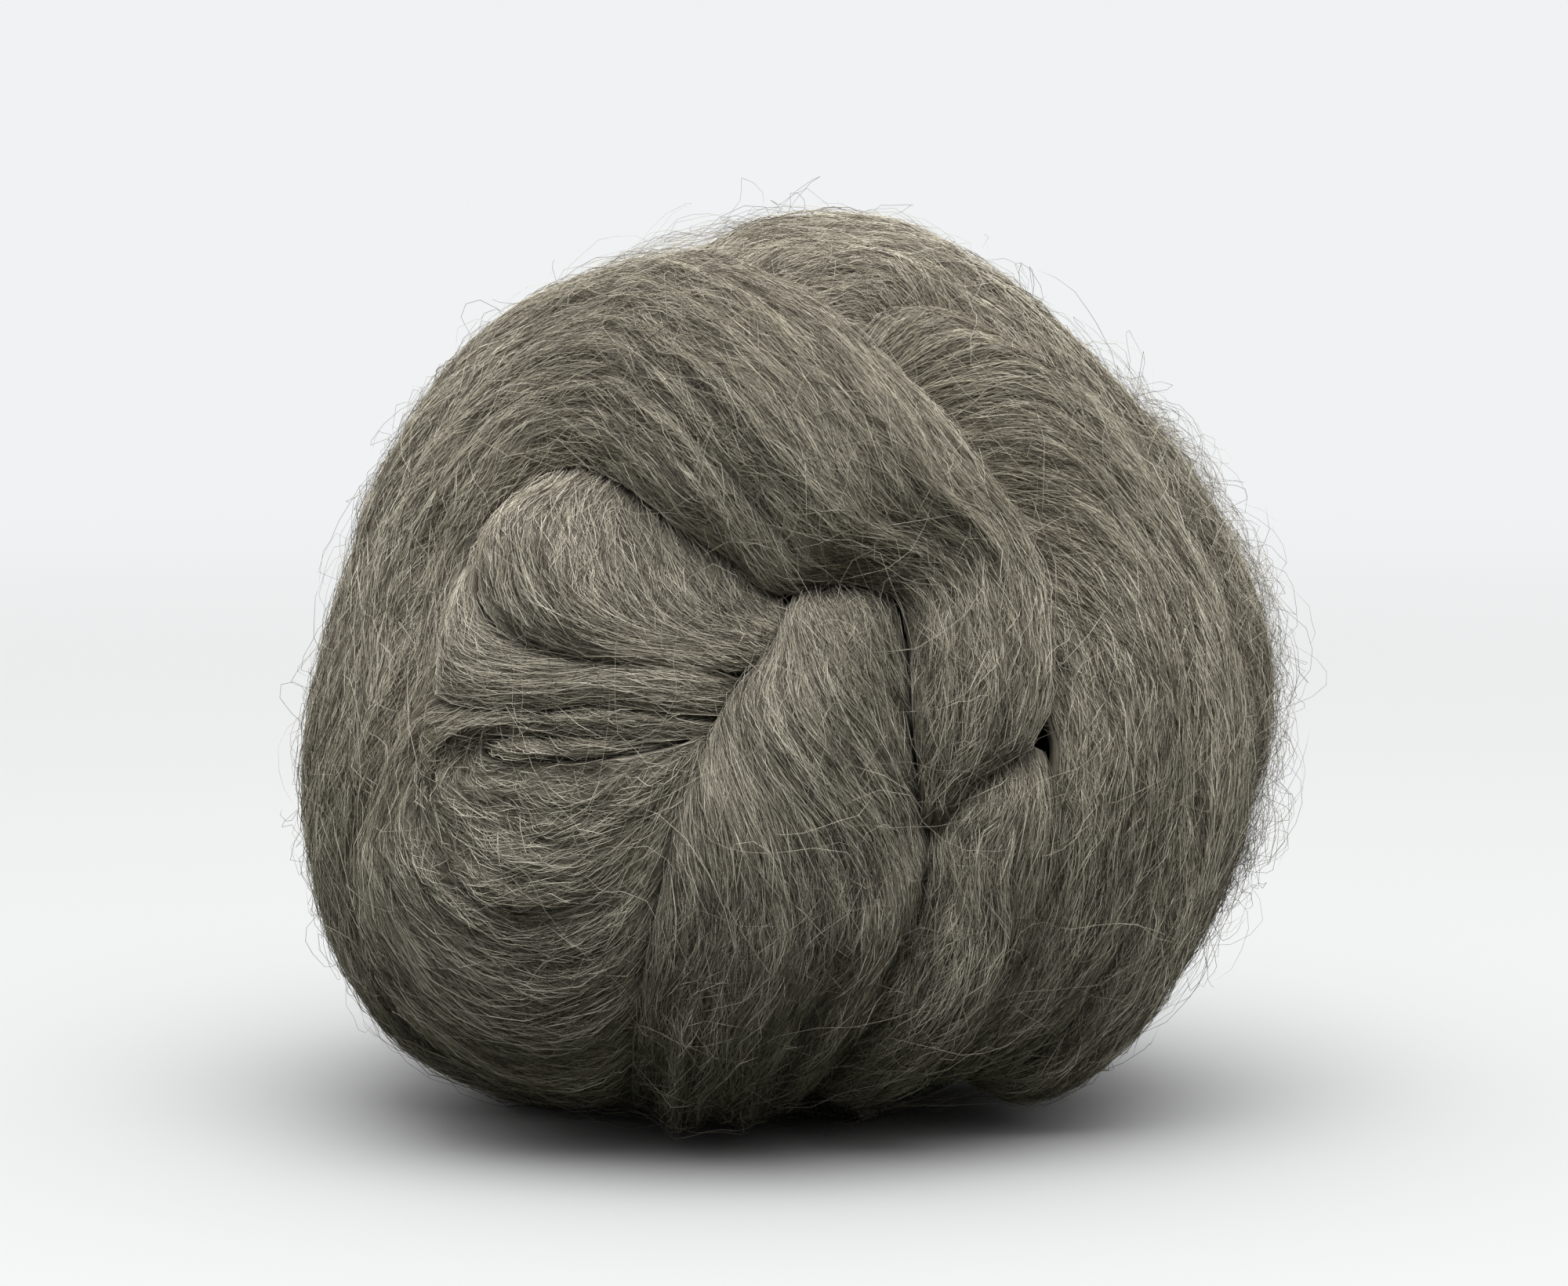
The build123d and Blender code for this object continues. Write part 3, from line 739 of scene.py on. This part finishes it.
def combedFibres(laid, name, firstRow, lastRow, seed, material):
    # fibres along the flow of a turn, only where it shows: each starts at a random cell of the grid,
    # chosen by its area, and closer together at the front
    look = fibreLook
    rng = np.random.default_rng(seed)
    points, length, half, drift = laid["points"], laid["length"], laid["half"], laid["drift"]
    rowCount, columnCount = points.shape[:2]
    normals = normalsOf(points)
    stepAlong = np.linalg.norm(np.diff(points, axis=0), axis=2)[:, :-1]
    stepAcross = np.linalg.norm(np.diff(points, axis=1), axis=2)[:-1]
    middle = points[:-1, :-1]
    facing = np.clip(look["middleShare"] - middle[..., 1] / look["frontDepth"], 0, 1)
    weight = stepAlong * stepAcross * ~laid["hidden"][:-1, :-1]
    weight[:firstRow] = 0
    weight[lastRow:] = 0
    weight = weight * (look["backShare"] + (1 - look["backShare"]) * facing)
    count = int(weight.sum() * look["perArea"])
    chosen = rng.choice(weight.size, count, p=(weight / weight.sum()).ravel())
    row = chosen // (columnCount - 1) + rng.uniform(0, 1, count)
    column = chosen % (columnCount - 1) + rng.uniform(0, 1, count)

    # where each fibre runs: t is 0 to 1 along it, and s is the place along the turn in mm
    span = rng.uniform(look["shortest"], look["longest"], count)
    span += (rng.uniform(0, 1, count) < look["longShare"]) * rng.uniform(0, look["extraLength"], count)
    span = np.minimum(span, look["mostOfTurn"] * length)
    centre = row / (rowCount - 1) * length
    start = np.clip(centre - span / 2, 0, length - span)
    t = np.linspace(0, 1, look["points"])
    s = start[:, None] + span[:, None] * t
    rows = s / length * (rowCount - 1)
    driftAt = np.interp(rows, np.arange(rowCount), drift)
    halfAt = np.interp(rows, np.arange(rowCount), half)
    angle = np.radians(look["straying"] * rng.standard_normal(count))
    angle *= np.where(rng.uniform(0, 1, count) < look["wildShare"], look["wilder"], 1)
    angle = np.clip(angle, -look["mostStraying"], look["mostStraying"])
    bow = rng.normal(0, look["bow"], count)[:, None] * np.sin(math.pi * t)
    sideways = np.tan(angle)[:, None] * (s - centre[:, None]) + bow
    sideways += rng.normal(0, look["crimp"], s.shape)

    # a lock is a numbered lane of the flow that meanders; a fibre slides part of the way to its middle
    flow = readGrid(laid["flow"], row, column)[:, None]
    meander = waves(seed + seedSteps["meander"], s, flow, *look["meanderSpans"], count=6)
    lane = flow / look["lockWidth"] + look["meander"] * meander
    number = np.round(lane[:, [lane.shape[1] // 2]])
    tight = look["gather"] * rng.uniform(look["leastGather"], 1, count)[:, None]
    sideways += tight * (number - lane) * look["lockWidth"]
    v = column[:, None] / (columnCount - 1) * 2 - 1 + driftAt
    v = v - np.interp(row, np.arange(rowCount), drift)[:, None] + sideways / halfAt
    v = np.clip(v, -look["edgeLimit"], look["edgeLimit"])
    columns = (v + 1) / 2 * (columnCount - 1)

    # how high it lies: some fibres stand up in the middle, and a few have one free end
    lift = rng.uniform(0, look["lift"], count)[:, None] + rng.uniform(0, look["unevenLift"], s.shape)
    some = rng.uniform(0, 1, count) < look["raisedShare"]
    raised = some * rng.uniform(look["leastRaised"], look["raised"], count)
    lift = lift + raised[:, None] * np.sin(math.pi * t)
    some = rng.uniform(0, 1, count) < look["freeShare"]
    free = some * rng.uniform(look["leastFree"], look["freeEnd"], count)
    lift = lift + free[:, None] * np.where(rng.uniform(0, 1, count)[:, None] < 0.5, t, 1 - t) ** 2
    paths = readGrid(points, rows, columns) + unit(readGrid(normals, rows, columns)) * lift[..., None]
    paths[..., 2] = np.maximum(paths[..., 2], look["aboveFloor"] - ballCentre[2])

    # each fibre's own tone, its turn's tone, which is painted shade below 0 and painted light above 0,
    # and a wave over the locks and from one fine lock to the next
    tones = look["middleTone"] + laid["tone"] + look["toneSpread"] * rng.standard_normal(count)
    byLock = waves(seed + seedSteps["lockTone"], centre, flow[:, 0], *look["lockSpans"])
    phase = waves(seed + seedSteps["fineTone"], centre, flow[:, 0], *look["fineSpans"], count=5)
    tones += look["lockTone"] * byLock
    tones += look["fineTone"] * np.sin(look["fineTurn"] * number[:, 0] + phase)
    thick = rng.uniform(look["thinnest"], look["thickest"], count)
    back = 1 - facing[chosen // (columnCount - 1), chosen % (columnCount - 1)]
    thick *= 1 + (look["backThicker"] - 1) * back
    pieceCount = math.ceil(count / look["mostInPiece"])
    total = 0
    for part in range(pieceCount):
        some = slice(part, None, pieceCount)
        ending = f"_fibres_{part + 1}" if pieceCount > 1 else "_fibres"
        total += needlePiece(name + ending, paths[some], thick[some], tones[some], material)
    return total


# loose fibres
strayLook = {
    "points": 9, "thinnest": 0.035, "thickest": 0.062,
    "curl": 0.42, "keepsTurning": 0.6,           # radians of turn at a step, and how much of it goes on
    "highShare": 0.1,        # this share stands up to "high", the rest up to "lift"
    "least": 0.2, "bottom": 0.25, "wobble": 0.16, "aboveFloor": 0.2,
    "waves": (0.5, 1.4),     # half waves of height along a fibre
    "radius": 54,            # of the ball that it walks round
    "deepest": 2.5,          # the fibre doesn't follow a crease deeper than this
    "tones": (0.08, 0.3, 0.8), "toneShares": (0.45, 0.3, 0.25), "toneSpread": 0.08,
    # where each group starts, as longitudes and latitudes
    "groups": {
        "stray_fibres": {"count": 2700, "lon": (-180, 180), "lat": (-90, 90), "length": (9, 30),
                         "lift": 1.6, "high": 3.6},
        "veil_fibres": {"count": 1000, "lon": (74, 104), "lat": (-32, 40), "length": (8, 24),
                        "lift": 3.4, "high": 6.5},
        "top_fibres": {"count": 260, "lon": (-70, 60), "lat": (55, 88), "length": (10, 30),
                       "lift": 2.2, "high": 6.5},
        "left_fibres": {"count": 420, "lon": (-106, -76), "lat": (-38, 48), "length": (8, 24),
                        "lift": 1.8, "high": 4.0},
    },
}


def strayFibres(name, group, seed, material):
    # curly fibres that wander over the ball: each step turns the heading about the outward
    # direction, and the height is a part of a sine wave plus a random wobble
    look = strayLook
    rng = np.random.default_rng(seed)
    steps, count = look["points"], group["count"]
    sines = rng.uniform(*np.sin(np.radians(group["lat"])), count)
    way = aim(rng.uniform(*group["lon"], count), np.degrees(np.arcsin(sines)))
    heading = rng.standard_normal((count, 3))
    heading = unit(heading - way * dot(heading, way))
    high = rng.uniform(0, 1, count) < look["highShare"]
    standing = rng.uniform(group["lift"], group["high"], count)
    lying = rng.uniform(look["least"], group["lift"], count)
    lift = np.where(high, standing, lying)
    lengths = rng.uniform(*group["length"], count)
    ways = [way]
    turning = rng.normal(0, look["curl"], count)
    for _ in range(steps - 1):
        turning = look["keepsTurning"] * turning + rng.normal(0, look["curl"], count)
        sideways = np.cross(way, heading)
        heading = heading * np.cos(turning)[:, None] + sideways * np.sin(turning)[:, None]
        way = unit(way + heading * (lengths / (steps - 1) / look["radius"])[:, None])
        heading = unit(heading - way * dot(heading, way))
        ways.append(way)
    ways = np.stack(ways, 1)
    ground = np.maximum(skin[texel(ways)], reach(ways) - look["deepest"])
    ground = (np.roll(ground, 1, 1) + 2 * ground + np.roll(ground, -1, 1)) / 4
    ground[:, [0, -1]] = ground[:, [1, -2]]
    t = np.linspace(0, 1, steps)
    halfWaves = t * rng.uniform(*look["waves"], count)[:, None]
    height = look["bottom"] + lift[:, None] * np.abs(np.sin(math.pi * halfWaves))
    height += rng.normal(0, look["wobble"], ground.shape)
    paths = ways * (ground + height)[..., None]
    paths[..., 2] = np.maximum(paths[..., 2], look["aboveFloor"] - ballCentre[2])
    thick = rng.uniform(look["thinnest"], look["thickest"], count)
    tones = rng.choice(look["tones"], count, p=look["toneShares"])
    tones = tones + rng.normal(0, look["toneSpread"], count)
    return needlePiece(name, paths, thick, tones, material)


# building the ball
# the packed wool's colours are darkened as painted shade between the loose fibres
packed = packedWool("packedWool", woolLook["paintedGapShade"])
loose = fibreWool("fibreWool")
inside = innerWool("innerWool")

for nodeName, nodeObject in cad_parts.items():
    if nodeName.startswith(("core", "inner_turn")):
        nodeObject.data.materials.clear()
        nodeObject.data.materials.append(inside)

triangles = 0
for number, name in enumerate(turns):
    laid = layTurn(name, seeds["relief"] + number)
    for share, (piece, firstRow, lastRow) in enumerate(laid["shares"]):
        wall = wallPiece(laid, piece, firstRow, lastRow, packed)
        seed = seeds["combed"] + number + seedSteps["knob"] * share
        fibres = combedFibres(laid, piece, firstRow, lastRow, seed, loose)
        triangles += wall + fibres
        print(f"{piece}: of {laid['length']:.0f} mm, wall {wall}, fibres {fibres} triangles")

for number, (name, group) in enumerate(strayLook["groups"].items()):
    triangles += strayFibres(name, group, seeds["stray"] + number, loose)
print(f"whole with strays {triangles} triangles")

# floor, light and camera
studioLook = {
    "floor": linear(198, 199, 199), "floorSize": 6.0,
    "floorBounce": linear(44, 50, 34),           # the floor's colour for the light that it throws back
    "fadeFrom": 0.22, "fadeTo": 0.9,             # metres from the ball where the floor becomes backdrop
    "backdrop": linear(240, 242, 243),
    "below": 0.02, "low": 0.46, "zenith": 2.10,  # the world's light under the horizon, low and overhead
    "lowHeight": 0.45,                           # sine of the height at which it is low
    "key": 7.2, "keySize": 1.0, "keyPlace": (0.05, -0.36, 1.00),
}


def mixShader(tree, share, first, second):
    # the first shader where the share is 0 and the second where it is 1
    return tree.node("ShaderNodeMixShader", None, {0: share, 1: first, 2: second})


def seenShare(tree):
    # 1 for the rays that show the backdrop, 0 for those that only carry its light
    path = tree.node("ShaderNodeLightPath")
    outputs = path.socket.node.outputs
    camera, glossy, glass = (Wire(tree.tree, outputs[n]) for n in
                             ("Is Camera Ray", "Is Glossy Ray", "Is Transmission Ray"))
    return tree.math("MAXIMUM", tree.math("MAXIMUM", camera, glossy), glass)


def makeFloor():
    # a square of paper that becomes the backdrop's colour with its distance from the ball
    look = studioLook
    material, tree = newMaterial("floorPaper")
    pale = tree.node("ShaderNodeBsdfDiffuse", None, {"Color": look["floor"]})
    dim = tree.node("ShaderNodeBsdfDiffuse", None, {"Color": look["floorBounce"]})
    far = tree.node("ShaderNodeEmission", None, {"Color": look["backdrop"], "Strength": 1.0})
    place = tree.node("ShaderNodeTexCoord", None, None, 3)
    away = tree.node("ShaderNodeVectorMath", {"operation": "LENGTH"}, {0: place}, 1)
    fade = tree.node("ShaderNodeMapRange", {"interpolation_type": "SMOOTHSTEP"}, {
        "Value": away, "From Min": look["fadeFrom"], "From Max": look["fadeTo"]})
    seen = mixShader(tree, fade, pale, far)
    surface = mixShader(tree, seenShare(tree), dim, seen)
    tree.node("ShaderNodeOutputMaterial", None, {"Surface": surface})
    half = look["floorSize"] / 2
    mesh = bpy.data.meshes.new("floor")
    corners = [(-half, -half, 0), (half, -half, 0), (half, half, 0), (-half, half, 0)]
    mesh.from_pydata(corners, [], [(0, 1, 2, 3)])
    mesh.materials.append(material)
    floor = bpy.data.objects.new("floor", mesh)
    bpy.context.scene.collection.objects.link(floor)


def makeWorld():
    # pale where it is seen; as a light it is brightest overhead and dim below the horizon
    look = studioLook
    world = bpy.data.worlds.new("studio")
    bpy.context.scene.world = world
    world.use_nodes = True
    world.node_tree.nodes.clear()
    tree = Wire(world.node_tree)
    direction = tree.node("ShaderNodeTexCoord", None, None, 0)
    height = tree.node("ShaderNodeSeparateXYZ", None, {"Vector": direction}, 2)
    horizon = tree.node("ShaderNodeMapRange", None, {
        "Value": height, "From Min": 0.0, "From Max": look["lowHeight"],
        "To Min": look["below"], "To Max": look["low"]})
    overhead = tree.node("ShaderNodeMapRange", None, {
        "Value": height, "From Min": look["lowHeight"], "From Max": 1.0,
        "To Min": 0.0, "To Max": look["zenith"] - look["low"]})
    light = tree.node("ShaderNodeBackground", None, {
        "Color": (1, 1, 1, 1), "Strength": horizon + overhead})
    seen = tree.node("ShaderNodeBackground", None, {"Color": look["backdrop"], "Strength": 1.0})
    tree.node("ShaderNodeOutputWorld", None, {"Surface": mixShader(tree, seenShare(tree), light, seen)})


def makeLamp():
    # one square softbox above and a little in front, turned towards the ball
    look = studioLook
    lamp = bpy.data.lights.new("softbox", "AREA")
    lamp.shape, lamp.size, lamp.energy = "SQUARE", look["keySize"], look["key"]
    lampObject = bpy.data.objects.new("softbox", lamp)
    bpy.context.scene.collection.objects.link(lampObject)
    lampObject.location = look["keyPlace"]
    aimAt = Vector(ballCentre * mm) - lampObject.location
    lampObject.rotation_euler = aimAt.to_track_quat("-Z", "Y").to_euler()


cameraLook = {
    "elevation": 6.0, "distance": 0.620, "lens": 122.2,      # a long lens, a little above the ball
    "sensor": 36.0, "nearest": 0.01, "farthest": 20.0,
    "aimAt": (-0.0008, 0.0, 0.0538),
}


def makeCamera():
    # it stands in front of the ball, at its distance along a way that rises by the elevation
    look = cameraLook
    camera = bpy.data.cameras.new("camera")
    camera.sensor_fit, camera.sensor_width, camera.lens = "HORIZONTAL", look["sensor"], look["lens"]
    camera.clip_start, camera.clip_end = look["nearest"], look["farthest"]
    cameraObject = bpy.data.objects.new("camera", camera)
    bpy.context.scene.collection.objects.link(cameraObject)
    tilt = math.radians(look["elevation"])
    back = Vector((0, -math.cos(tilt), math.sin(tilt)))
    cameraObject.location = Vector(look["aimAt"]) + back * look["distance"]
    cameraObject.rotation_euler = (-back).to_track_quat("-Z", "Y").to_euler()
    bpy.context.scene.camera = cameraObject


makeFloor()
makeWorld()
makeLamp()
makeCamera()
bpy.context.scene.view_settings.view_transform = "Standard"
print("studio ready")
